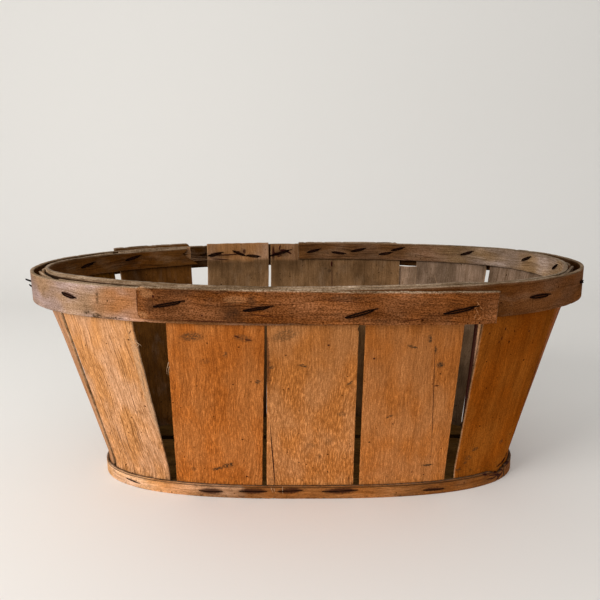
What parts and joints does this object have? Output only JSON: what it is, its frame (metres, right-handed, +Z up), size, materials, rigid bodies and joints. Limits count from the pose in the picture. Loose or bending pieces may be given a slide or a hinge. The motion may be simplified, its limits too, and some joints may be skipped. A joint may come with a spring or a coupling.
{
  "type": "harvest basket",
  "caption": "Oval harvest basket of wooden veneer staves, stapled between two rim hoops and round a board floor, with a low band round the foot.",
  "frame": {"origin": "on the ground, in the middle of the basket", "axes": "+Z up, +X along the basket's long way to the right as seen from its front, -Y its front"},
  "size_m": [0.496, 0.306, 0.2036],
  "materials": {
    "pale_stave": "worn, unvarnished",
    "orange_stave": "worn, unvarnished",
    "red_stave": "worn, unvarnished",
    "grey_stave": "worn, unvarnished",
    "tan_hoop": "worn, unvarnished",
    "brown_hoop": "worn, unvarnished",
    "red_strip": "worn, unvarnished",
    "band": "worn, unvarnished",
    "floor": "worn, unvarnished",
    "staple_wire": "rusty"
  },
  "bodies": {
    "root": {"outer_hoop": "tan_hoop", "inner_hoop": "brown_hoop", "front_strip": "red_strip", "back_strip_left": "brown_hoop", "back_strip_right": "brown_hoop", "foot_band": "band", "floor_board_front": "floor", "floor_board_back": "floor", "splint_front_5": "pale_stave", "stave_front_1": "pale_stave", "stave_front_2": "orange_stave", "stave_front_3": "pale_stave", "stave_front_4": "pale_stave", "stave_front_5": "red_stave", "stave_right_front": "pale_stave", "stave_right_middle": "grey_stave", "stave_right_back": "grey_stave", "stave_back_5": "grey_stave", "stave_back_4": "grey_stave", "stave_back_3": "grey_stave", "stave_back_2": "grey_stave", "stave_back_1": "grey_stave", "stave_left_back": "grey_stave", "stave_left_middle": "grey_stave", "stave_left_front": "pale_stave", "splint_back": "grey_stave"}
  },
  "joints": []
}
